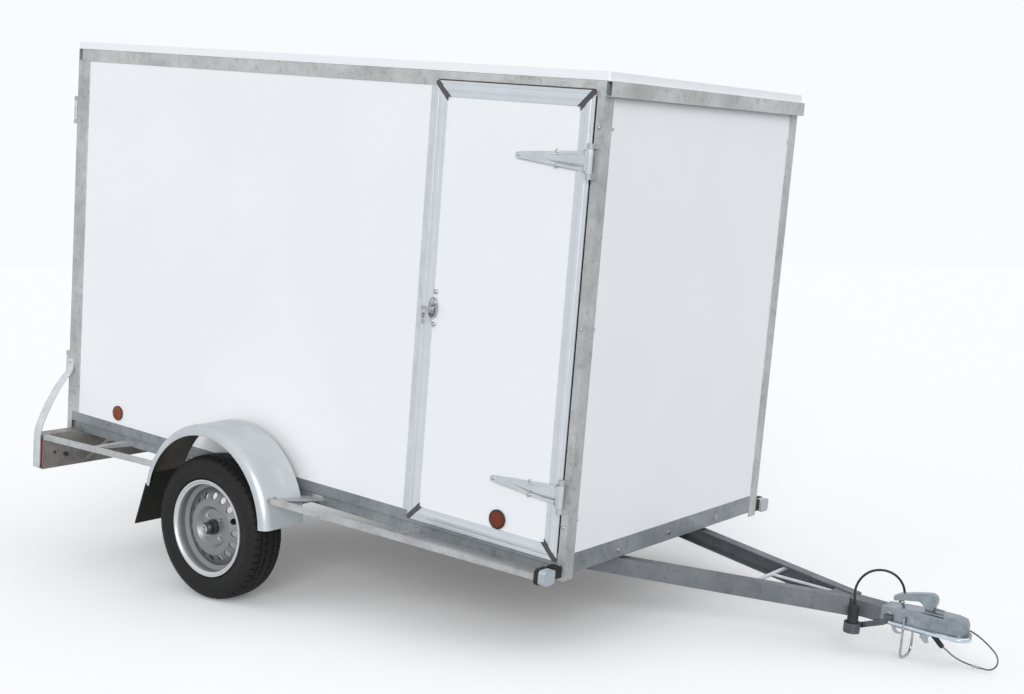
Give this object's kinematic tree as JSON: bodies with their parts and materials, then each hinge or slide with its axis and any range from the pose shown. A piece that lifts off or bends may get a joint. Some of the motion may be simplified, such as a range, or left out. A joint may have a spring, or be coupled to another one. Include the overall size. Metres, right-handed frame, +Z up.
{
  "type": "enclosed cargo trailer",
  "caption": "Enclosed box trailer on one axle with a hinged side door, two rear doors, V drawbar, ball coupling, mudguards and rear lamp carrier.",
  "frame": {"origin": "on the ground, at the middle of the trailer's outer box in plan, cords left out", "axes": "+X forward towards the coupling, +Y to the left side, +Z up; the trailer is parked nose down on its wheels and the hoop under the coupling"},
  "size_m": [3.8162, 1.794, 2.1477],
  "materials": {
    "amber_plastic": "reflector",
    "anodised": "anodised profile",
    "black_plastic": "moulded",
    "black_rubber": "moulded",
    "black_sheath": "smooth",
    "brown_board": "film-faced board",
    "clear_plastic": "clear lens",
    "galvanised": "hot-dip galvanised, dull",
    "hub_steel": "machined",
    "red_plastic": "lens",
    "rim_paint": "silver paint",
    "steel_rope": "stranded",
    "tyre": "moulded",
    "white_board": "smooth white film on board",
    "zinc_plated": "zinc plated"
  },
  "bodies": {
    "trailer": {"sills": "galvanised", "cross_members": "galvanised", "corner_posts": "galvanised", "door_post": "galvanised", "top_rails": "galvanised", "axle": "galvanised", "drawbar_beams": "galvanised", "drawbar_braces": "galvanised", "head_tube": "galvanised", "mudguards": "galvanised", "guard_rails": "galvanised", "light_board": "galvanised", "hinge_pins": "galvanised", "coupling_housing": "zinc_plated", "rest_hoop": "zinc_plated", "board_straps": "zinc_plated", "side_panel_right": "white_board", "side_panel_left": "white_board", "front_panel": "white_board", "roof_panel": "white_board", "floor_panel": "brown_board", "coupling_handle": "zinc_plated", "plug_holder": "zinc_plated", "plug": "black_plastic", "trailer_lead": "black_sheath", "safety_cable": "steel_rope", "cable_hook": "black_plastic", "mudflaps": "black_rubber", "rear_lamps": "red_plastic", "marker_lamps": "black_rubber", "side_reflectors": "amber_plastic", "marker_lenses": "clear_plastic"},
    "side_door": {"side_door_hinges": "galvanised", "side_door_lock": "zinc_plated", "side_door_panel": "white_board", "side_door_reflector": "amber_plastic", "side_door_frame": "anodised", "side_door_corners": "black_plastic"},
    "rear_door_right": {"rear_door_right_hinges": "galvanised", "rear_door_right_lock": "zinc_plated", "rear_door_right_panel": "white_board", "rear_door_right_frame": "anodised", "rear_door_right_corners": "black_plastic"},
    "rear_door_left": {"rear_door_left_hinges": "galvanised", "rear_door_left_panel": "white_board", "rear_door_left_frame": "anodised", "rear_door_left_corners": "black_plastic"},
    "wheel_right": {"tyre_right": "tyre", "rim_right": "rim_paint", "hub_right": "hub_steel"},
    "wheel_left": {"tyre_left": "tyre", "rim_left": "rim_paint", "hub_left": "hub_steel"}
  },
  "joints": [
    {"name": "side_door_swing", "type": "hinge", "parent": "trailer", "child": "side_door", "pos_m": [0.8081, -0.67, 1.0151], "axis": [0.1057, 0, 0.9944], "range_deg": [0, 175]},
    {"name": "rear_door_right_swing", "type": "hinge", "parent": "trailer", "child": "rear_door_right", "pos_m": [-1.79324, -0.638, 1.29164], "axis": [0.1057, 0, 0.9944], "range_deg": [0, 175]},
    {"name": "rear_door_left_swing", "type": "hinge", "parent": "trailer", "child": "rear_door_left", "pos_m": [-1.79324, 0.638, 1.29164], "axis": [0.1057, 0, 0.9944], "range_deg": [-175, 0]},
    {"name": "wheel_right_spin", "type": "hinge", "parent": "trailer", "child": "wheel_right", "pos_m": [-0.72494, -0.8, 0.273], "axis": [0, 1, 0], "continuous": true},
    {"name": "wheel_left_spin", "type": "hinge", "parent": "trailer", "child": "wheel_left", "pos_m": [-0.72494, 0.8, 0.273], "axis": [0, 1, 0], "continuous": true}
  ]
}
